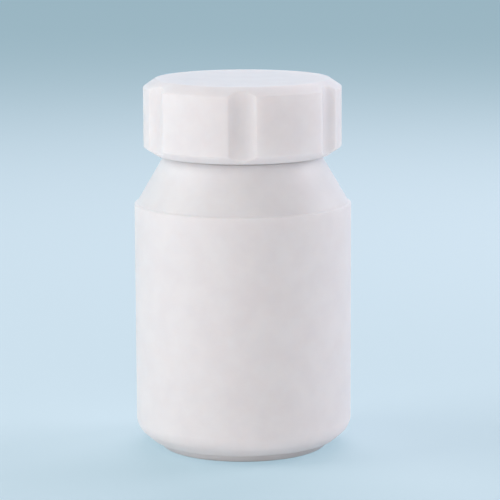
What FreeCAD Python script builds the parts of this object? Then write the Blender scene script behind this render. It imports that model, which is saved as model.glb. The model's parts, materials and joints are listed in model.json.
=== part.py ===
import FreeCAD, Part
import math
import os

# Wide-mouth reagent bottle with a fluted screw cap, turned from white fluoropolymer.
# Millimetres. +Z is up, the axis of the bottle is the Z axis and the foot stands on z = 0.
# One flute of the cap faces -Y, which is the front.

# Bottle: foot and base
body_diameter = 56.0
foot_height = 2.1
foot_inset = 2.7
foot_ring_width = 4.5
foot_recess_depth = 1.2
base_chamfer_width = 3.8
base_chamfer_height = 3.3
base_blend = 4.5

# Bottle: wall, shoulder and neck, each height measured from the one below it
body_top_height = 63.7
step_width = 0.7
step_rise = 0.3
shoulder_height = 12.3
neck_height = 13.6
wall_thickness = 4.5
base_thickness = 4.4
floor_chamfer = 3.5
neck_wall = 2.5
shoulder_ledge_width = 2.3

# Screw thread shared by the neck and the cap, right-handed and one start
thread_diameter = 38.4
thread_pitch = 4.0
thread_depth = 1.2
thread_flank_angle = 30.0
thread_clearance = 0.3
thread_root_sink = 0.4

# Plain wall below and above each thread
neck_plain_below = 3.4
neck_plain_above = 0.5
cap_plain_below = 3.2
cap_plain_above = 3.6

# Cap
cap_wall = 6.0
cap_top_thickness = 4.5
cap_skirt_gap = 0.4
cap_chamfer_width = 3.1
cap_chamfer_height = 2.1
cap_entry_chamfer = 0.6
flute_count = 6
flute_depth = 1.6
flute_radius = 5.0
flute_edge_rounding = 0.4

# Sealing disc that lies in the roof of the cap
seal_thickness = 1.8
seal_clearance = 0.25

# Small broken edges left by the turning tool
edge_break = 0.3

# A rounding takes at most this share of the shorter side beside its corner
rounding_share = 0.45

# Places that follow from the sizes above
body_radius = body_diameter / 2
base_edge_radius = body_radius - base_chamfer_width
foot_radius = base_edge_radius - foot_inset
inner_radius = body_radius - wall_thickness
floor_height = foot_height + base_thickness
shoulder_foot_radius = body_radius - step_width
shoulder_foot_height = body_top_height + step_rise
shoulder_top_height = shoulder_foot_height + shoulder_height - step_rise
rim_height = shoulder_top_height + neck_height
thread_radius = thread_diameter / 2
neck_radius = thread_radius - thread_depth
mouth_radius = neck_radius - neck_wall
shoulder_top_radius = neck_radius + shoulder_ledge_width
cap_bore_radius = thread_radius + thread_clearance
cap_radius = cap_bore_radius + cap_wall
cap_bottom_height = shoulder_top_height + cap_skirt_gap
seal_top_height = rim_height + seal_thickness
cap_top_height = seal_top_height + cap_top_thickness


def point(radius, height):
    return FreeCAD.Vector(radius, 0, height)


def arc_corner(before, corner, after, rounding):
    """Return the start, middle and end of the arc that rounds a corner of an outline."""
    to_before = before - corner
    to_after = after - corner
    half_angle = to_before.getAngle(to_after) / 2
    room = rounding_share * min(to_before.Length, to_after.Length)
    reach = min(rounding / math.tan(half_angle), room)
    radius = reach * math.tan(half_angle)
    start = corner + to_before.normalize() * reach
    end = corner + to_after.normalize() * reach
    inward = (to_before + to_after).normalize()
    middle = corner + inward * (radius / math.sin(half_angle) - radius)
    return start, middle, end


def turned(corners):
    """Turn a closed outline about the axis. Each corner is (radius, height, rounding)."""
    places = [point(radius, height) for radius, height, rounding in corners]
    edges = []
    ends = []
    for index, (radius, height, rounding) in enumerate(corners):
        here = places[index]
        if rounding > 0:
            after = places[(index + 1) % len(places)]
            start, middle, end = arc_corner(places[index - 1], here, after, rounding)
            edges.append(Part.Arc(start, middle, end).toShape())
            ends.append((start, end))
        else:
            ends.append((here, here))
    for index, (start, end) in enumerate(ends):
        following = ends[(index + 1) % len(ends)][0]
        edges.append(Part.LineSegment(end, following).toShape())
    outline = Part.Wire(Part.__sortEdges__(edges))
    return Part.Face(outline).revolve(FreeCAD.Vector(0, 0, 0), FreeCAD.Vector(0, 0, 1), 360)


def thread_crest_width():
    """Crest that leaves the named clearance on both flanks of two equal ridges."""
    slope = math.tan(math.radians(thread_flank_angle))
    axial_gap = thread_clearance / math.cos(math.radians(thread_flank_angle))
    return thread_pitch / 2 - axial_gap - (thread_depth - thread_clearance) * slope


def thread_ridge(crest_radius, root_radius, lift, low, high):
    """Helical ridge between two heights, thinned out at both ends by a 45 degree cut."""
    slope = math.tan(math.radians(thread_flank_angle))
    outward = 1 if crest_radius > root_radius else -1
    buried_radius = root_radius - outward * thread_root_sink
    half_crest = thread_crest_width() / 2
    half_root = half_crest + abs(crest_radius - buried_radius) * slope
    section = Part.makePolygon([
        point(crest_radius, -half_crest),
        point(crest_radius, half_crest),
        point(buried_radius, half_root),
        point(buried_radius, -half_root),
        point(crest_radius, -half_crest),
    ])
    run = rim_height - shoulder_top_height + 2 * thread_pitch
    helix = Part.Wire(Part.makeHelix(thread_pitch, run, crest_radius))
    ridge = helix.makePipeShell([section], True, True)
    ridge.translate(FreeCAD.Vector(0, 0, shoulder_top_height - thread_pitch + lift))
    inside_wall = buried_radius - outward * thread_root_sink
    past_crest = crest_radius + outward * thread_depth
    cut_height = abs(past_crest - root_radius)
    room = turned([
        (inside_wall, low, 0),
        (root_radius, low, 0),
        (past_crest, low + cut_height, 0),
        (past_crest, high - cut_height, 0),
        (root_radius, high, 0),
        (inside_wall, high, 0),
    ])
    return ridge.common(room)


def inner_cone_height(radius):
    """Height at which the cone inside the shoulder, one wall in from its outside, has a radius."""
    run = shoulder_foot_radius - shoulder_top_radius
    rise = shoulder_top_height - shoulder_foot_height
    level_wall = wall_thickness * math.hypot(run, rise) / rise
    return shoulder_foot_height + (shoulder_foot_radius - level_wall - radius) * rise / run


def make_bottle():
    """One turned piece: foot ring, body, stepped shoulder, threaded neck and bored inside."""
    recess_radius = foot_radius - foot_ring_width
    base_top = foot_height + base_chamfer_height
    shell = turned([
        (0, foot_recess_depth, 0),
        (recess_radius, foot_recess_depth, 0),
        (recess_radius + foot_recess_depth, 0, 0),
        (foot_radius - edge_break, 0, 0),
        (foot_radius, edge_break, 0),
        (foot_radius, foot_height, 0),
        (base_edge_radius, foot_height, 0),
        (body_radius, base_top, base_blend),
        (body_radius, body_top_height, 0),
        (shoulder_foot_radius, shoulder_foot_height, 0),
        (shoulder_top_radius, shoulder_top_height, 0),
        (neck_radius, shoulder_top_height, 0),
        (neck_radius, rim_height - edge_break, 0),
        (neck_radius - edge_break, rim_height, 0),
        (mouth_radius + edge_break, rim_height, 0),
        (mouth_radius, rim_height - edge_break, 0),
        (mouth_radius, inner_cone_height(mouth_radius), 0),
        (inner_radius, inner_cone_height(inner_radius), 0),
        (inner_radius, floor_height + floor_chamfer, 0),
        (inner_radius - floor_chamfer, floor_height, 0),
        (0, floor_height, 0),
    ])
    low = shoulder_top_height + neck_plain_below
    high = rim_height - neck_plain_above
    return shell.fuse(thread_ridge(thread_radius, neck_radius, 0, low, high))


def flute_corner(angle, side):
    """Ends and middle of the rounding between the cap's wall and one side of a flute."""
    flute_place = cap_radius - flute_depth + flute_radius
    corner_place = cap_radius - flute_edge_rounding
    reach = flute_radius + flute_edge_rounding
    spread = (flute_place**2 + corner_place**2 - reach**2) / (2 * flute_place * corner_place)
    turn = angle + side * math.acos(spread)
    corner = FreeCAD.Vector(math.cos(turn), math.sin(turn), 0) * corner_place
    flute = FreeCAD.Vector(math.cos(angle), math.sin(angle), 0) * flute_place
    to_wall = FreeCAD.Vector(math.cos(turn), math.sin(turn), 0)
    to_flute = (flute - corner).normalize()
    on_wall = corner + to_wall * flute_edge_rounding
    on_flute = corner + to_flute * flute_edge_rounding
    middle = corner + (to_wall + to_flute).normalize() * flute_edge_rounding
    return on_wall, middle, on_flute


def fluted_blank():
    """Upright bar with the outline of the cap seen from above: a circle with hollow flutes."""
    pitch_angle = 2 * math.pi / flute_count
    edges = []
    for index in range(flute_count):
        angle = -math.pi / 2 + index * pitch_angle
        enter_wall, enter_middle, enter_flute = flute_corner(angle, -1)
        leave_wall, leave_middle, leave_flute = flute_corner(angle, 1)
        next_wall = flute_corner(angle + pitch_angle, -1)[0]
        depth_place = cap_radius - flute_depth
        deepest = FreeCAD.Vector(math.cos(angle), math.sin(angle), 0) * depth_place
        halfway = angle + pitch_angle / 2
        crown = FreeCAD.Vector(math.cos(halfway), math.sin(halfway), 0) * cap_radius
        edges.append(Part.Arc(enter_wall, enter_middle, enter_flute).toShape())
        edges.append(Part.Arc(enter_flute, deepest, leave_flute).toShape())
        edges.append(Part.Arc(leave_flute, leave_middle, leave_wall).toShape())
        edges.append(Part.Arc(leave_wall, crown, next_wall).toShape())
    return Part.Face(Part.Wire(edges)).extrude(FreeCAD.Vector(0, 0, cap_top_height))


def make_cap():
    """Turned cap with chamfered ends, cut by the flutes, with the thread standing inward."""
    face_radius = cap_radius - cap_chamfer_width
    shell = turned([
        (0, seal_top_height, 0),
        (cap_bore_radius, seal_top_height, 0),
        (cap_bore_radius, cap_bottom_height + cap_entry_chamfer, 0),
        (cap_bore_radius + cap_entry_chamfer, cap_bottom_height, 0),
        (face_radius, cap_bottom_height, 0),
        (cap_radius, cap_bottom_height + cap_chamfer_height, 0),
        (cap_radius, cap_top_height - cap_chamfer_height, 0),
        (face_radius, cap_top_height, 0),
        (0, cap_top_height, 0),
    ])
    fluted = shell.common(fluted_blank())
    low = cap_bottom_height + cap_plain_below
    high = seal_top_height - cap_plain_above
    crest_radius = cap_bore_radius - thread_depth
    ridge = thread_ridge(crest_radius, cap_bore_radius, thread_pitch / 2, low, high)
    return fluted.fuse(ridge)


def make_seal_disc():
    """Disc punched from sheet, that lies on the rim and stays in the cap above its thread."""
    radius = cap_bore_radius - seal_clearance
    return turned([
        (0, rim_height, 0),
        (radius, rim_height, 0),
        (radius, seal_top_height, 0),
        (0, seal_top_height, 0),
    ])


def main():
    os.makedirs("parts", exist_ok=True)
    makers = {
        "bottle": make_bottle,
        "cap": make_cap,
        "seal_disc": make_seal_disc,
    }
    for name, maker in makers.items():
        shape = maker()
        shape.exportStep(os.path.join("parts", name + ".step"))


main()
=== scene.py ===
import json
import math

import bmesh
import bpy
from bpy.props import FloatProperty, FloatVectorProperty, IntProperty, PointerProperty
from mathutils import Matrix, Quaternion, Vector


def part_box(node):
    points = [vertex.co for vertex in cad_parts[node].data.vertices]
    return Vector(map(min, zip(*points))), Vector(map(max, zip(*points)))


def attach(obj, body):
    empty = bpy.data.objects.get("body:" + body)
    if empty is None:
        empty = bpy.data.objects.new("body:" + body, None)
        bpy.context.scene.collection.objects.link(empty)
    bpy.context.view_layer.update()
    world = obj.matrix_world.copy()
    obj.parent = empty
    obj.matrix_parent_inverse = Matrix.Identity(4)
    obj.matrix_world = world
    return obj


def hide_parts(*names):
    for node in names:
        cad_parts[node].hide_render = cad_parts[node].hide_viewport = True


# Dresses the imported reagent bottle: smooth turned pieces in a satin white finish,
# on a pale floor under soft studio light. Every length is in metres, +Z is up and
# the front of the object faces -Y.

bl_info = {
    "name": "Wide-mouth reagent bottle",
    "version": (1, 0, 0),
    "blender": (4, 5, 0),
    "location": "3D View > Sidebar > Bottle",
    "description": "Turned reagent bottle with a fluted screw cap",
    "category": "Add Mesh",
}

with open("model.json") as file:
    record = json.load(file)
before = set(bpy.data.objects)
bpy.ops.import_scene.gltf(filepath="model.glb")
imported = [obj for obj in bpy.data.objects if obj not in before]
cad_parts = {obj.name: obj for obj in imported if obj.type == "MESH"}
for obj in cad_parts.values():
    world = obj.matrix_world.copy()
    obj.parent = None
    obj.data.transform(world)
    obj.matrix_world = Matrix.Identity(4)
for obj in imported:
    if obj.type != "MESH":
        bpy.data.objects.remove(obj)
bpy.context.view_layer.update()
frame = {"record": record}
bottle_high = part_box("bottle")[1]
cap_low, cap_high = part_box("cap")
disc_low, disc_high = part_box("seal_disc")
screw_coupling = frame["record"]["behaviour"]["couplings"][0]
screw_pitch = screw_coupling["ratio"] * 2 * math.pi

# How finely round shapes are divided
TURNING_STEPS = 288
THREAD_STEPS = 120
PANEL_STEPS = 64
FLUTE_STEPS = 22
CHAMFER_RINGS = 26
ROUNDING_SEGMENTS = 4
BLEND_SEGMENTS = 14
MERGE_DISTANCE = 1e-7

# Roundings above this radius are blends, with more segments than a broken edge
BLEND_RADIUS = 0.002

# Edges that turn by more than this stay sharp when the piece is shaded
SHARP_ANGLE = math.radians(40)

# Part of a noise texture's range that is stretched to run from 0 to 1
NOISE_LOW = 0.35
NOISE_HIGH = 0.65

# Burnished bands: how wide they are against the grooves, and their share beside the clouds
BAND_SCALE = 0.12
BAND_SHARE = 0.6

# Sockets that a Mix node uses for colours: factor, both colours, and the result
MIX_COLOUR_INPUTS = (0, 6, 7)
MIX_COLOUR_OUTPUT = 2

FULL_TURN = 2 * math.pi
AXIS = (0, 0, 1)
FRONT = Vector((0, -1, 0))


def length(name, description, default):
    return FloatProperty(name=name, description=description, default=default, min=0, unit="LENGTH")


def angle(name, description, degrees):
    default = math.radians(degrees)
    return FloatProperty(name=name, description=description, default=default, subtype="ANGLE")


def amount(name, description, default):
    return FloatProperty(name=name, description=description, default=default, min=0)


def colour(name, description, default):
    return FloatVectorProperty(
        name=name, description=description, default=default, size=3, min=0, max=1, subtype="COLOR"
    )


class BottleSizes(bpy.types.PropertyGroup):
    body_radius: length("Body radius", "Outside of the straight wall", bottle_high.x)
    rim_height: length("Rim height", "Top of the neck", bottle_high.z)
    foot_height: length("Foot height", "Height of the foot ring", 0.0021)
    foot_inset: length("Foot inset", "Ledge between the base and the foot ring", 0.0027)
    foot_ring_width: length("Foot ring width", "Width of the ring that stands", 0.0045)
    foot_recess: length("Foot recess", "Depth of the hollow under the foot", 0.0012)
    base_width: length("Base chamfer width", "How far the base draws in", 0.0038)
    base_rise: length("Base chamfer height", "Height over which it draws in", 0.0033)
    base_blend: length("Base blend", "Radius between base and wall", 0.0045)
    body_top: length("Body top", "Height where the straight wall ends", 0.0637)
    step_width: length("Step width", "Width of the step below the shoulder", 0.0007)
    step_rise: length("Step rise", "Height of that step", 0.0003)
    shoulder_height: length("Shoulder height", "From the body top to the neck", 0.0123)
    shoulder_ledge: length("Shoulder ledge", "Flat ring around the neck", 0.0023)
    wall: length("Wall", "Thickness of the wall", 0.0045)
    base_thickness: length("Base thickness", "Thickness above the foot", 0.0044)
    floor_rounding: length("Floor rounding", "Radius inside, at the floor", 0.0045)
    shoulder_rounding: length("Shoulder rounding", "Radius inside, at the shoulder", 0.001)
    neck_wall: length("Neck wall", "Thickness of the neck", 0.0025)
    edge_rounding: length("Edge rounding", "Radius of the broken edges", 0.0003)


class ThreadSizes(bpy.types.PropertyGroup):
    radius: length("Thread radius", "Outside of the neck's thread", 0.0192)
    depth: length("Thread depth", "From crest to root", 0.0012)
    pitch: length("Pitch", "Rise of the cap in one turn", screw_pitch)
    flank: angle("Flank angle", "Slope of the thread's sides", 30)
    clearance: length("Clearance", "Gap between the two threads", 0.0003)
    sink: length("Root sink", "How far a ridge goes into its wall", 0.0004)
    crest_rounding: length("Crest rounding", "Softened edge of the crest", 0.00015)
    neck_plain_below: length("Neck, plain below", "Plain neck below its thread", 0.0034)
    neck_plain_above: length("Neck, plain above", "Plain neck above its thread", 0.0005)
    cap_plain_below: length("Cap, plain below", "Plain bore below the cap's thread", 0.0032)
    cap_plain_above: length("Cap, plain above", "Plain bore above the cap's thread", 0.0036)


class CapSizes(bpy.types.PropertyGroup):
    radius: length("Cap radius", "Outside of the cap", cap_high.x)
    bottom: length("Cap bottom", "Height of the cap's lower face", cap_low.z)
    top: length("Cap top", "Height of the cap's upper face", cap_high.z)
    chamfer_width: length("Chamfer width", "Width of the chamfer at both ends", 0.0031)
    chamfer_height: length("Chamfer height", "Height of that chamfer", 0.0021)
    entry_chamfer: length("Entry chamfer", "Chamfer at the mouth of the bore", 0.0006)
    edge_rounding: length("Edge rounding", "Radius of the broken edges", 0.00035)
    softening: length("Softening", "Softness where the wall meets the chamfers", 0.0003)
    flute_count: IntProperty(name="Flutes", description="Hollow grips round the cap", default=6)
    flute_depth: length("Flute depth", "Depth of a flute", 0.0016)
    flute_radius: length("Flute radius", "Radius of the hollow", 0.005)
    lip_rounding: length("Lip rounding", "Radius of the flute's edges", 0.0006)


class DiscSizes(bpy.types.PropertyGroup):
    radius: length("Disc radius", "Outside of the sealing disc", disc_high.x)
    bottom: length("Disc bottom", "Face that lies on the rim", disc_low.z)
    top: length("Disc top", "Face against the cap's roof", disc_high.z)
    edge_rounding: length("Edge rounding", "Radius of the punched edges", 0.0001)


class FinishLook(bpy.types.PropertyGroup):
    light_white: colour("Light white", "Paler tone of the plastic", (0.872, 0.869, 0.88))
    deep_white: colour("Deep white", "Denser tone of the plastic", (0.845, 0.836, 0.85))
    disc_white: colour("Disc white", "Paler tone of the sealing disc", (0.8, 0.8, 0.79))
    disc_shade: colour("Disc shade", "Denser tone of the sealing disc", (0.76, 0.76, 0.75))
    groove_spacing: length("Groove spacing", "Pitch of the tool's marks", 0.0005)
    groove_depth: length("Groove depth", "Depth of the tool's marks", 0.000012)
    cloud_size: length("Cloud size", "Size of the milky clouds", 0.006)
    burnished: amount("Burnished", "Roughness of the shinier bands", 0.4)
    matt: amount("Matt", "Roughness of the duller bands", 0.54)
    refraction: amount("Refraction", "Refractive index of the plastic", 1.38)
    glow: amount("Glow", "Share of light that passes through the skin of the plastic", 0.9)
    glow_depth: length("Glow depth", "How far that light spreads", 0.006)
    glow_tone: colour("Glow tone", "Share of that depth that each colour reaches", (1, 0.9, 0.85))


def soft_box(name, power, tone, azimuth, elevation, distance, width, height):
    """Group of settings for one soft box, aimed at the middle of the object."""
    settings = {
        "power": amount("Power", "Watts of the lamp", power),
        "tone": colour("Tone", "Colour of the lamp", tone),
        "azimuth": angle("Azimuth", "Place round the object, 0 at the front", azimuth),
        "elevation": angle("Elevation", "Angle above the floor", elevation),
        "distance": length("Distance", "From the middle of the object", distance),
        "width": length("Width", "Width of the box", width),
        "height": length("Height", "Height of the box", height),
    }
    return type(name, (bpy.types.PropertyGroup,), {"__annotations__": settings})


LeftBox = soft_box(
    "LeftBox", power=2.75, tone=(0.98, 1, 1),
    azimuth=-84, elevation=25, distance=0.8, width=0.5, height=0.6,
)
EdgeBox = soft_box(
    "EdgeBox", power=2.9, tone=(0.98, 0.93, 1),
    azimuth=108, elevation=20, distance=0.8, width=0.4, height=0.6,
)
HighBox = soft_box(
    "HighBox", power=2.5, tone=(1, 0.9, 0.98),
    azimuth=170, elevation=50, distance=0.8, width=0.6, height=0.4,
)
FrontBox = soft_box(
    "FrontBox", power=4.6, tone=(1, 0.86, 0.82),
    azimuth=-12, elevation=9, distance=1, width=1.6, height=0.38,
)


class StageLook(bpy.types.PropertyGroup):
    floor_tone: colour("Floor", "Pale floor", (0.8, 0.85, 0.88))
    backdrop_tone: colour("Backdrop", "Plain tone behind the object", (0.46, 0.76, 0.92))
    floor_lift: amount("Floor lift", "Share of the backdrop's tone that the floor shows", 0.45)
    floor_radius: length("Floor radius", "Size of the floor", 6)
    room_tone: colour("Room light", "Colour of the light from all round", (1, 1, 1))
    room_strength: amount("Room light strength", "Light from all round", 0.25)
    left_box: PointerProperty(type=LeftBox)
    edge_box: PointerProperty(type=EdgeBox)
    high_box: PointerProperty(type=HighBox)
    front_box: PointerProperty(type=FrontBox)
    focal_length: FloatProperty(
        name="Focal length", description="Lens of the camera", default=182.56, unit="CAMERA"
    )
    camera_distance: length("Camera distance", "From the aim to the camera", 0.658)
    camera_elevation: angle("Camera elevation", "Height of the view", 9.607)
    camera_roll: angle("Camera roll", "Tilt of the picture", -0.24)
    aim_side: length("Aim to the side", "Aim of the camera along X", 0.0018)
    aim_height: length("Aim height", "Aim of the camera along Z", 0.05108)


class BottleSettings(bpy.types.PropertyGroup):
    bottle: PointerProperty(type=BottleSizes)
    thread: PointerProperty(type=ThreadSizes)
    cap: PointerProperty(type=CapSizes)
    disc: PointerProperty(type=DiscSizes)
    finish: PointerProperty(type=FinishLook)
    stage: PointerProperty(type=StageLook)


# Turning and joining

def rounded_outline(bm, corners, closed=False):
    """Draw an outline in the XZ plane and round it. Each corner is (radius, height, rounding)."""
    places = [Vector((radius, 0, height)) for radius, height, rounding in corners]
    verts = [bm.verts.new(place) for place in places]
    for first, second in zip(verts, verts[1:]):
        bm.edges.new((first, second))
    if closed:
        bm.edges.new((verts[-1], verts[0]))
    for index, vert in enumerate(verts):
        rounding = corners[index][2]
        if rounding == 0:
            continue
        before = places[index - 1] - places[index]
        after = places[(index + 1) % len(places)] - places[index]
        soften_corner(bm, vert, rounding, before.angle(after))


def soften_corner(bm, vert, rounding, opening):
    """Round one corner of an outline, whose two sides open at the given angle."""
    bmesh.ops.bevel(
        bm,
        geom=[vert],
        affect="VERTICES",
        offset_type="OFFSET",
        offset=rounding / math.tan(opening / 2),
        segments=BLEND_SEGMENTS if rounding > BLEND_RADIUS else ROUNDING_SEGMENTS,
        profile=0.5,
        material=-1,
    )


def turn(bm, steps):
    """Turn the outline drawn in bm once about the axis."""
    bmesh.ops.spin(
        bm, geom=bm.verts[:] + bm.edges[:], cent=(0, 0, 0), axis=AXIS,
        angle=FULL_TURN, steps=steps, use_merge=True,
    )
    close_up(bm)


def close_up(bm):
    """Close seams and poles, and turn every face outward."""
    bmesh.ops.remove_doubles(bm, verts=bm.verts[:], dist=MERGE_DISTANCE)
    bmesh.ops.recalc_face_normals(bm, faces=bm.faces[:])


def piece_from(bm, name):
    """Make a smooth object of a finished bmesh."""
    for face in bm.faces:
        face.smooth = True
    mesh = bpy.data.meshes.new(name)
    bm.to_mesh(mesh)
    bm.free()
    piece = bpy.data.objects.new(name, mesh)
    bpy.context.scene.collection.objects.link(piece)
    return piece


def combine(piece, tool, operation):
    """Give piece the Boolean result of itself and tool, and use up the tool."""
    modifier = piece.modifiers.new("Combine", "BOOLEAN")
    modifier.operation = operation
    modifier.solver = "MANIFOLD"
    modifier.object = tool
    depsgraph = bpy.context.evaluated_depsgraph_get()
    result = bpy.data.meshes.new_from_object(piece.evaluated_get(depsgraph))
    piece.modifiers.clear()
    spent = [piece.data, tool.data]
    piece.data = result
    result.name = piece.name
    bpy.data.objects.remove(tool)
    for mesh in spent:
        bpy.data.meshes.remove(mesh)


def finish_shading(piece):
    """Keep large faces flat and roundings soft when the piece is shaded."""
    piece.data.set_sharp_from_angle(angle=SHARP_ANGLE)
    weighting = piece.modifiers.new("Face weighted shading", "WEIGHTED_NORMAL")
    weighting.keep_sharp = True


# Bottle, cap and sealing disc

def make_thread_ridge(name, thread, crest_radius, root_radius, start_height, low, high):
    """Helical ridge between two heights, thinned out at both ends by a 45 degree cut."""
    slope = math.tan(thread.flank)
    axial_gap = thread.clearance / math.cos(thread.flank)
    crest_width = thread.pitch / 2 - axial_gap - (thread.depth - thread.clearance) * slope
    outward = 1 if crest_radius > root_radius else -1
    buried_radius = root_radius - outward * thread.sink
    half_crest = crest_width / 2
    half_root = half_crest + abs(crest_radius - buried_radius) * slope
    ridge_bm = bmesh.new()
    rounded_outline(ridge_bm, [
        (crest_radius, start_height - half_crest, thread.crest_rounding),
        (crest_radius, start_height + half_crest, thread.crest_rounding),
        (buried_radius, start_height + half_root, 0),
        (buried_radius, start_height - half_root, 0),
    ], closed=True)
    turns = math.ceil((high - start_height) / thread.pitch) + 1
    bmesh.ops.spin(
        ridge_bm, geom=ridge_bm.verts[:] + ridge_bm.edges[:], cent=(0, 0, 0), axis=AXIS,
        dvec=(0, 0, thread.pitch / THREAD_STEPS),
        angle=FULL_TURN * turns, steps=THREAD_STEPS * turns,
    )
    ends = [edge for edge in ridge_bm.edges if edge.is_boundary]
    bmesh.ops.holes_fill(ridge_bm, edges=ends, sides=0)
    close_up(ridge_bm)
    ridge = piece_from(ridge_bm, name)

    inside_wall = buried_radius - outward * thread.sink
    past_crest = crest_radius + outward * thread.depth
    cut_height = abs(past_crest - root_radius)
    room_bm = bmesh.new()
    rounded_outline(room_bm, [
        (inside_wall, low, 0),
        (root_radius, low, 0),
        (past_crest, low + cut_height, 0),
        (past_crest, high - cut_height, 0),
        (root_radius, high, 0),
        (inside_wall, high, 0),
    ], closed=True)
    turn(room_bm, THREAD_STEPS)
    combine(ridge, piece_from(room_bm, "thread_room"), "INTERSECT")
    return ridge


def make_bottle(bottle, thread):
    """Turn the bottle in one piece, from foot ring to rim and back down the inside."""
    base_edge_radius = bottle.body_radius - bottle.base_width
    foot_radius = base_edge_radius - bottle.foot_inset
    recess_radius = foot_radius - bottle.foot_ring_width
    base_top = bottle.foot_height + bottle.base_rise
    cone_foot_radius = bottle.body_radius - bottle.step_width
    cone_foot_height = bottle.body_top + bottle.step_rise
    cone_top_height = bottle.body_top + bottle.shoulder_height
    neck_radius = thread.radius - thread.depth
    cone_top_radius = neck_radius + bottle.shoulder_ledge
    mouth_radius = neck_radius - bottle.neck_wall
    inner_radius = bottle.body_radius - bottle.wall
    floor_height = bottle.foot_height + bottle.base_thickness
    cone_run = cone_foot_radius - cone_top_radius
    cone_rise = cone_top_height - cone_foot_height
    level_wall = bottle.wall * math.hypot(cone_run, cone_rise) / cone_rise
    inner_cone_foot = cone_foot_radius - level_wall
    steepness = cone_rise / cone_run
    throat_height = cone_foot_height + (inner_cone_foot - mouth_radius) * steepness
    inner_top_height = cone_foot_height + (inner_cone_foot - inner_radius) * steepness

    edge = bottle.edge_rounding
    bm = bmesh.new()
    rounded_outline(bm, [
        (0, bottle.foot_recess, 0),
        (recess_radius, bottle.foot_recess, edge),
        (recess_radius + bottle.foot_recess, 0, edge),
        (foot_radius, 0, edge),
        (foot_radius, bottle.foot_height, 0),
        (base_edge_radius, bottle.foot_height, edge),
        (bottle.body_radius, base_top, bottle.base_blend),
        (bottle.body_radius, bottle.body_top, edge),
        (cone_foot_radius, cone_foot_height, edge / 2),
        (cone_top_radius, cone_top_height, edge),
        (neck_radius, cone_top_height, edge),
        (neck_radius, bottle.rim_height, edge),
        (mouth_radius, bottle.rim_height, edge),
        (mouth_radius, throat_height, bottle.shoulder_rounding),
        (inner_radius, inner_top_height, bottle.shoulder_rounding),
        (inner_radius, floor_height, bottle.floor_rounding),
        (0, floor_height, 0),
    ])
    turn(bm, TURNING_STEPS)
    piece = piece_from(bm, "bottle_shell")
    ridge = make_thread_ridge(
        "neck_thread", thread, thread.radius, neck_radius, cone_top_height - thread.pitch,
        cone_top_height + thread.neck_plain_below, bottle.rim_height - thread.neck_plain_above,
    )
    combine(piece, ridge, "UNION")
    finish_shading(piece)
    return piece


def draw_fluted_ring(bm, cap, height):
    """Draw the cap's outline from above: a circle with hollow flutes that have soft lips."""
    flute_place = cap.radius - cap.flute_depth + cap.flute_radius
    lip_cosine = (flute_place**2 + cap.radius**2 - cap.flute_radius**2) / (
        2 * flute_place * cap.radius
    )
    lip_angle = math.acos(lip_cosine)
    flute_pitch = FULL_TURN / cap.flute_count
    level = Vector((0, 0, height))
    flute_centre = FRONT * flute_place + level
    lip = Quaternion(AXIS, -lip_angle) @ FRONT * cap.radius + level
    flute_turn = 2 * (lip - flute_centre).angle(-FRONT)
    first = bm.verts.new(lip)
    flute = bmesh.ops.spin(
        bm, geom=[first], cent=flute_centre, axis=AXIS, angle=-flute_turn, steps=FLUTE_STEPS
    )
    bmesh.ops.spin(
        bm, geom=flute["geom_last"], cent=level, axis=AXIS,
        angle=flute_pitch - 2 * lip_angle, steps=PANEL_STEPS,
    )
    bmesh.ops.spin(
        bm, geom=bm.verts[:] + bm.edges[:], cent=level, axis=AXIS,
        angle=FULL_TURN - flute_pitch, steps=cap.flute_count - 1, use_duplicate=True,
    )
    bmesh.ops.remove_doubles(bm, verts=bm.verts[:], dist=MERGE_DISTANCE)
    lips = [vert for vert in bm.verts if vert.calc_edge_angle() > SHARP_ANGLE]
    for vert in lips:
        soften_corner(bm, vert, cap.lip_rounding, math.pi - vert.calc_edge_angle())


def raise_ring(bm, edges, outline, radius, height, softening):
    """Extrude a ring to a height and draw it in to a radius, or to the outline where that is less."""
    made = bmesh.ops.extrude_edge_only(bm, edges=edges)["geom"]
    for vert in made:
        if not isinstance(vert, bmesh.types.BMVert):
            continue
        limit = vert[outline]
        # A smooth minimum, which lies a quarter of the softening lower where the two are equal
        closeness = max(softening - abs(limit - radius), 0) / softening
        reach = min(limit, radius) - closeness**2 * softening / 4
        direction = Vector((vert.co.x, vert.co.y, 0)).normalized()
        vert.co = direction * reach + Vector((0, 0, height))
    return [edge for edge in made if isinstance(edge, bmesh.types.BMEdge)]


def chamfer_rings(cap, face_height, inward):
    """Rings of one chamfer, from the wall to the face, closest where flutes run out in it."""
    face_radius = cap.radius - cap.chamfer_width
    slope = cap.chamfer_height / cap.chamfer_width
    outer = cap.radius + cap.softening
    inner = cap.radius - cap.flute_depth - cap.softening
    rings = []
    for step in range(CHAMFER_RINGS + 1):
        radius = outer + (inner - outer) * step / CHAMFER_RINGS
        rings.append((radius, face_height + inward * (radius - face_radius) * slope))
    rings.append((face_radius, face_height))
    return rings


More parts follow.
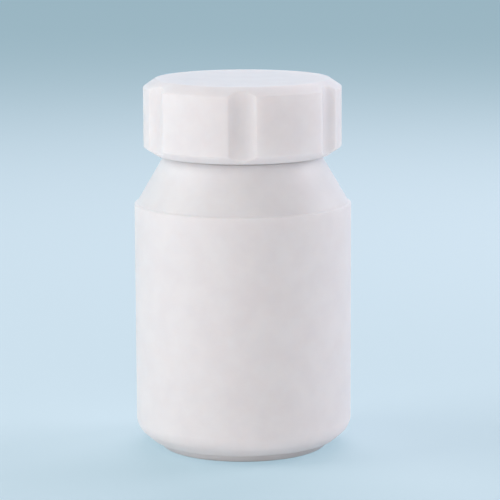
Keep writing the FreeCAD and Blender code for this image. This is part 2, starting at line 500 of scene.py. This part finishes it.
def make_cap(cap, thread, disc, bottle):
    """Raise the cap from its fluted outline, upward to its top and downward into its bore."""
    bore_radius = thread.radius + thread.clearance
    upper_rings = chamfer_rings(cap, cap.top, -1)
    lower_rings = chamfer_rings(cap, cap.bottom, 1)
    bm = bmesh.new()
    outline = bm.verts.layers.float.new("outline")
    draw_fluted_ring(bm, cap, lower_rings[0][1])
    for vert in bm.verts:
        vert[outline] = math.hypot(vert.co.x, vert.co.y)
    wall_ring = bm.edges[:]
    softened = []

    ring = wall_ring
    for radius, height in upper_rings:
        ring = raise_ring(bm, ring, outline, radius, height, cap.softening)
    softened += ring
    ring = raise_ring(bm, ring, outline, bore_radius, cap.top, cap.softening)
    raise_ring(bm, ring, outline, 0, cap.top, cap.softening)

    ring = wall_ring
    for radius, height in lower_rings[1:]:
        ring = raise_ring(bm, ring, outline, radius, height, cap.softening)
    softened += ring
    ring = raise_ring(
        bm, ring, outline, bore_radius + cap.entry_chamfer, cap.bottom, cap.softening
    )
    softened += ring
    for radius, height in (
        (bore_radius, cap.bottom + cap.entry_chamfer), (bore_radius, disc.top), (0, disc.top)
    ):
        ring = raise_ring(bm, ring, outline, radius, height, cap.softening)
    close_up(bm)
    bmesh.ops.bevel(
        bm, geom=[edge for edge in softened if edge.is_valid], affect="EDGES",
        offset_type="OFFSET", offset=cap.edge_rounding / 2, segments=ROUNDING_SEGMENTS,
        profile=0.5, material=-1,
    )
    piece = piece_from(bm, "cap_shell")
    cone_top_height = bottle.body_top + bottle.shoulder_height
    ridge = make_thread_ridge(
        "cap_thread", thread, bore_radius - thread.depth, bore_radius,
        cone_top_height - thread.pitch / 2,
        cap.bottom + thread.cap_plain_below, disc.top - thread.cap_plain_above,
    )
    combine(piece, ridge, "UNION")
    finish_shading(piece)
    return piece


def make_disc(disc):
    """Turn the flat disc that seals the rim."""
    bm = bmesh.new()
    rounded_outline(bm, [
        (0, disc.bottom, 0),
        (disc.radius, disc.bottom, disc.edge_rounding),
        (disc.radius, disc.top, disc.edge_rounding),
        (0, disc.top, 0),
    ])
    turn(bm, TURNING_STEPS)
    piece = piece_from(bm, "sealing_disc")
    finish_shading(piece)
    return piece


# Finishes

def add_node(tree, kind, label, **settings):
    """Add a node, and set its own fields and its inputs by name."""
    node = tree.nodes.new(kind)
    node.label = label
    for name, value in settings.items():
        if hasattr(node, name):
            setattr(node, name, value)
        else:
            node.inputs[name.replace("_", " ").title()].default_value = value
    return node


def empty_tree(owner):
    """Switch a material or a world to nodes, and clear those that it starts with."""
    owner.use_nodes = True
    owner.node_tree.nodes.clear()
    return owner.node_tree


def turned_finish_group():
    """Rings left by the turning tool, milky clouds and burnished bands, each from 0 to 1."""
    group = bpy.data.node_groups.get("Turned finish")
    if group:
        return group
    group = bpy.data.node_groups.new("Turned finish", "ShaderNodeTree")
    group.interface.new_socket("Position", in_out="INPUT", socket_type="NodeSocketVector")
    for name in ("Groove Spacing", "Cloud Size"):
        group.interface.new_socket(name, in_out="INPUT", socket_type="NodeSocketFloat")
    for name in ("Grooves", "Clouds", "Bands"):
        group.interface.new_socket(name, in_out="OUTPUT", socket_type="NodeSocketFloat")
    link = group.links.new
    given = add_node(group, "NodeGroupInput", "Place and sizes")
    result = add_node(group, "NodeGroupOutput", "Masks")

    apart = add_node(group, "ShaderNodeSeparateXYZ", "Sides and height")
    link(given.outputs["Position"], apart.inputs["Vector"])
    level = add_node(group, "ShaderNodeCombineXYZ", "Level place")
    link(apart.outputs["X"], level.inputs["X"])
    link(apart.outputs["Y"], level.inputs["Y"])
    radius = add_node(group, "ShaderNodeVectorMath", "Distance from the axis", operation="LENGTH")
    link(level.outputs["Vector"], radius.inputs[0])
    section = add_node(group, "ShaderNodeCombineXYZ", "Place in the section")
    link(radius.outputs["Value"], section.inputs["X"])
    link(apart.outputs["Z"], section.inputs["Y"])

    per_groove = add_node(group, "ShaderNodeMath", "Grooves per metre", operation="DIVIDE")
    per_groove.inputs[0].default_value = 1
    link(given.outputs["Groove Spacing"], per_groove.inputs[1])
    in_grooves = add_node(group, "ShaderNodeVectorMath", "Counted in grooves", operation="SCALE")
    link(section.outputs["Vector"], in_grooves.inputs[0])
    link(per_groove.outputs["Value"], in_grooves.inputs["Scale"])
    grooves = add_node(
        group, "ShaderNodeTexNoise", "Tool marks", noise_dimensions="2D",
        scale=1, detail=2, roughness=0.5,
    )
    link(in_grooves.outputs["Vector"], grooves.inputs["Vector"])
    link(grooves.outputs["Fac"], result.inputs["Grooves"])

    per_cloud = add_node(group, "ShaderNodeMath", "Clouds per metre", operation="DIVIDE")
    per_cloud.inputs[0].default_value = 1
    link(given.outputs["Cloud Size"], per_cloud.inputs[1])
    clouds = add_node(group, "ShaderNodeTexNoise", "Milky clouds", detail=4, roughness=0.55)
    link(given.outputs["Position"], clouds.inputs["Vector"])
    link(per_cloud.outputs["Value"], clouds.inputs["Scale"])
    spread = add_node(
        group, "ShaderNodeMapRange", "Spread the clouds", from_min=NOISE_LOW, from_max=NOISE_HIGH
    )
    link(clouds.outputs["Fac"], spread.inputs["Value"])
    link(spread.outputs["Result"], result.inputs["Clouds"])

    bands = add_node(
        group, "ShaderNodeTexNoise", "Burnished bands", noise_dimensions="2D",
        scale=BAND_SCALE, detail=3, roughness=0.6,
    )
    link(in_grooves.outputs["Vector"], bands.inputs["Vector"])
    mixed = add_node(group, "ShaderNodeMath", "Bands with clouds", operation="MULTIPLY_ADD")
    mixed.inputs[1].default_value = BAND_SHARE
    link(bands.outputs["Fac"], mixed.inputs[0])
    clouded = add_node(group, "ShaderNodeMath", "Share of clouds", operation="MULTIPLY")
    clouded.inputs[1].default_value = 1 - BAND_SHARE
    link(clouds.outputs["Fac"], clouded.inputs[0])
    link(clouded.outputs["Value"], mixed.inputs[2])
    stretched = add_node(
        group, "ShaderNodeMapRange", "Spread the bands", from_min=NOISE_LOW, from_max=NOISE_HIGH
    )
    link(mixed.outputs["Value"], stretched.inputs["Value"])
    link(stretched.outputs["Result"], result.inputs["Bands"])
    return group


def turned_plastic(name, finish, light, shade):
    """Satin white fluoropolymer: milky, faintly grooved by the tool, softly shiny."""
    material = bpy.data.materials.get(name)
    if material:
        return material
    material = bpy.data.materials.new(name)
    tree = empty_tree(material)
    link = tree.links.new
    output = add_node(tree, "ShaderNodeOutputMaterial", "Surface")
    shader = add_node(tree, "ShaderNodeBsdfPrincipled", "Fluoropolymer")
    shader.inputs["IOR"].default_value = finish.refraction
    shader.inputs["Subsurface Weight"].default_value = finish.glow
    shader.inputs["Subsurface Scale"].default_value = finish.glow_depth
    shader.inputs["Subsurface Radius"].default_value = finish.glow_tone
    link(shader.outputs["BSDF"], output.inputs["Surface"])

    place = add_node(tree, "ShaderNodeTexCoord", "Place on the piece")
    marks = add_node(tree, "ShaderNodeGroup", "Turned finish", node_tree=turned_finish_group())
    marks.inputs["Groove Spacing"].default_value = finish.groove_spacing
    marks.inputs["Cloud Size"].default_value = finish.cloud_size
    link(place.outputs["Object"], marks.inputs["Position"])

    tone = add_node(tree, "ShaderNodeMix", "Milky tone", data_type="RGBA")
    factor, first, second = (tone.inputs[index] for index in MIX_COLOUR_INPUTS)
    first.default_value = (*shade, 1)
    second.default_value = (*light, 1)
    link(marks.outputs["Clouds"], factor)
    link(tone.outputs[MIX_COLOUR_OUTPUT], shader.inputs["Base Color"])

    shine = add_node(
        tree, "ShaderNodeMapRange", "Satin", to_min=finish.burnished, to_max=finish.matt
    )
    link(marks.outputs["Bands"], shine.inputs["Value"])
    link(shine.outputs["Result"], shader.inputs["Roughness"])

    relief = add_node(tree, "ShaderNodeBump", "Tool marks", distance=finish.groove_depth)
    link(marks.outputs["Grooves"], relief.inputs["Height"])
    link(relief.outputs["Normal"], shader.inputs["Normal"])
    return material


def white_plastic(finish):
    """Finish that the bottle and its cap share."""
    return turned_plastic("Turned white plastic", finish, finish.light_white, finish.deep_white)


def dress(piece, material, body, node):
    """Give a finished piece its finish and its place in the frame."""
    piece.data.materials.clear()
    piece.data.materials.append(material)
    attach(piece, body)
    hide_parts(node)


# Stage

def seen_directly(tree):
    """Socket that is 1 for rays from the camera, in gloss or through glass, and else 0."""
    path = add_node(tree, "ShaderNodeLightPath", "Kind of ray")
    glossy = add_node(tree, "ShaderNodeMath", "Seen or in gloss", operation="MAXIMUM")
    tree.links.new(path.outputs["Is Camera Ray"], glossy.inputs[0])
    tree.links.new(path.outputs["Is Glossy Ray"], glossy.inputs[1])
    through = add_node(tree, "ShaderNodeMath", "Or through glass", operation="MAXIMUM")
    tree.links.new(glossy.outputs["Value"], through.inputs[0])
    tree.links.new(path.outputs["Is Transmission Ray"], through.inputs[1])
    return through.outputs["Value"]


def make_floor(stage):
    """Lay a pale floor that takes up part of the backdrop's tone where it is seen."""
    bm = bmesh.new()
    bmesh.ops.create_circle(bm, cap_ends=True, radius=stage.floor_radius, segments=TURNING_STEPS)
    floor = piece_from(bm, "floor")
    material = bpy.data.materials.new("Pale floor")
    tree = empty_tree(material)
    link = tree.links.new
    output = add_node(tree, "ShaderNodeOutputMaterial", "Surface")
    paint = add_node(tree, "ShaderNodeBsdfDiffuse", "Pale paint")
    paint.inputs["Color"].default_value = (*stage.floor_tone, 1)
    backdrop = add_node(tree, "ShaderNodeEmission", "Backdrop tone", strength=1)
    backdrop.inputs["Color"].default_value = (*stage.backdrop_tone, 1)
    share = add_node(tree, "ShaderNodeMath", "Share of the backdrop", operation="MULTIPLY")
    link(seen_directly(tree), share.inputs[0])
    share.inputs[1].default_value = stage.floor_lift
    mixed = add_node(tree, "ShaderNodeMixShader", "Paint or backdrop")
    link(share.outputs["Value"], mixed.inputs["Fac"])
    link(paint.outputs["BSDF"], mixed.inputs[1])
    link(backdrop.outputs["Emission"], mixed.inputs[2])
    link(mixed.outputs["Shader"], output.inputs["Surface"])
    floor.data.materials.append(material)


def make_room_light(stage):
    """Light from all round, behind a plain backdrop that only the camera and gloss see."""
    world = bpy.data.worlds.new("Studio")
    bpy.context.scene.world = world
    tree = empty_tree(world)
    link = tree.links.new
    output = add_node(tree, "ShaderNodeOutputWorld", "World")
    light = add_node(tree, "ShaderNodeBackground", "Room light", strength=stage.room_strength)
    light.inputs["Color"].default_value = (*stage.room_tone, 1)
    backdrop = add_node(tree, "ShaderNodeBackground", "Backdrop", strength=1)
    backdrop.inputs["Color"].default_value = (*stage.backdrop_tone, 1)
    choice = add_node(tree, "ShaderNodeMixShader", "Light or backdrop")
    link(seen_directly(tree), choice.inputs["Fac"])
    link(light.outputs["Background"], choice.inputs[1])
    link(backdrop.outputs["Background"], choice.inputs[2])
    link(choice.outputs["Shader"], output.inputs["Surface"])


def view_direction(azimuth, elevation):
    """Direction from the object towards a place round it, where azimuth 0 is the front."""
    return Vector((
        math.sin(azimuth) * math.cos(elevation),
        -math.cos(azimuth) * math.cos(elevation),
        math.sin(elevation),
    ))


def hang_lamp(name, settings):
    """Hang a soft box that faces the middle of the object."""
    lamp = bpy.data.lights.new(name, "AREA")
    lamp.energy = settings.power
    lamp.color = settings.tone
    lamp.shape = "RECTANGLE"
    lamp.size = settings.width
    lamp.size_y = settings.height
    box = bpy.data.objects.new(name, lamp)
    bpy.context.scene.collection.objects.link(box)
    direction = view_direction(settings.azimuth, settings.elevation)
    middle = Vector((0, 0, cap_high.z / 2))
    box.location = middle + direction * settings.distance
    box.rotation_euler = direction.to_track_quat("Z", "Y").to_euler()
    box.visible_camera = False


def place_camera(stage):
    """Look at the front of the object from a little above, through a long lens."""
    lens = bpy.data.cameras.new("camera")
    lens.lens = stage.focal_length
    camera = bpy.data.objects.new("camera", lens)
    bpy.context.scene.collection.objects.link(camera)
    back = view_direction(0, stage.camera_elevation)
    aim = Vector((stage.aim_side, 0, stage.aim_height))
    camera.location = aim + back * stage.camera_distance
    upright = back.to_track_quat("Z", "Y")
    camera.rotation_euler = (upright @ Quaternion(AXIS, stage.camera_roll)).to_euler()
    bpy.context.scene.camera = camera


# Operators, panel and registration

class TurnBottle(bpy.types.Operator):
    """Turn the bottle with its foot, stepped shoulder and threaded neck"""
    bl_idname = "reagent_bottle.turn_bottle"
    bl_label = "Turn bottle"

    def execute(self, context):
        settings = context.scene.reagent_bottle
        piece = make_bottle(settings.bottle, settings.thread)
        plastic = white_plastic(settings.finish)
        dress(piece, plastic, "bottle", "bottle")
        return {"FINISHED"}


class TurnCap(bpy.types.Operator):
    """Make the fluted screw cap with its inside thread"""
    bl_idname = "reagent_bottle.turn_cap"
    bl_label = "Make cap"

    def execute(self, context):
        settings = context.scene.reagent_bottle
        piece = make_cap(settings.cap, settings.thread, settings.disc, settings.bottle)
        plastic = white_plastic(settings.finish)
        dress(piece, plastic, "cap", "cap")
        return {"FINISHED"}


class CutDisc(bpy.types.Operator):
    """Make the disc that seals the rim inside the cap"""
    bl_idname = "reagent_bottle.cut_disc"
    bl_label = "Cut sealing disc"

    def execute(self, context):
        settings = context.scene.reagent_bottle
        finish = settings.finish
        piece = make_disc(settings.disc)
        plastic = turned_plastic("Skived sheet", finish, finish.disc_white, finish.disc_shade)
        dress(piece, plastic, "seal", "seal_disc")
        return {"FINISHED"}


class SetStage(bpy.types.Operator):
    """Lay the floor, hang the lamps and place the camera"""
    bl_idname = "reagent_bottle.set_stage"
    bl_label = "Set stage"

    def execute(self, context):
        stage = context.scene.reagent_bottle.stage
        make_floor(stage)
        make_room_light(stage)
        for name in ("left_box", "edge_box", "high_box", "front_box"):
            hang_lamp(name, getattr(stage, name))
        place_camera(stage)
        context.scene.view_settings.view_transform = "Standard"
        return {"FINISHED"}


def draw_settings(layout, group):
    """List the settings of a group, and of the groups in it."""
    for name in group.__annotations__:
        value = getattr(group, name)
        if isinstance(value, bpy.types.PropertyGroup):
            layout.label(text=name.replace("_", " ").capitalize())
            draw_settings(layout, value)
        else:
            layout.prop(group, name)


class BottlePanel(bpy.types.Panel):
    """Steps and sizes of the reagent bottle"""
    bl_idname = "VIEW3D_PT_reagent_bottle"
    bl_label = "Reagent bottle"
    bl_space_type = "VIEW_3D"
    bl_region_type = "UI"
    bl_category = "Bottle"

    def draw(self, context):
        layout = self.layout
        for operator in OPERATORS:
            layout.operator(operator.bl_idname)
        settings = context.scene.reagent_bottle
        for name in BottleSettings.__annotations__:
            box = layout.box()
            box.label(text=name.capitalize())
            draw_settings(box, getattr(settings, name))


OPERATORS = (TurnBottle, TurnCap, CutDisc, SetStage)
CLASSES = (
    BottleSizes, ThreadSizes, CapSizes, DiscSizes, FinishLook,
    LeftBox, EdgeBox, HighBox, FrontBox, StageLook, BottleSettings,
    *OPERATORS, BottlePanel,
)


def register():
    for group in CLASSES:
        bpy.utils.register_class(group)
    bpy.types.Scene.reagent_bottle = PointerProperty(type=BottleSettings)


def unregister():
    del bpy.types.Scene.reagent_bottle
    for group in reversed(CLASSES):
        bpy.utils.unregister_class(group)


def main():
    register()
    bpy.ops.reagent_bottle.turn_bottle()
    bpy.ops.reagent_bottle.turn_cap()
    bpy.ops.reagent_bottle.cut_disc()
    bpy.ops.reagent_bottle.set_stage()


if __name__ == "__main__":
    main()
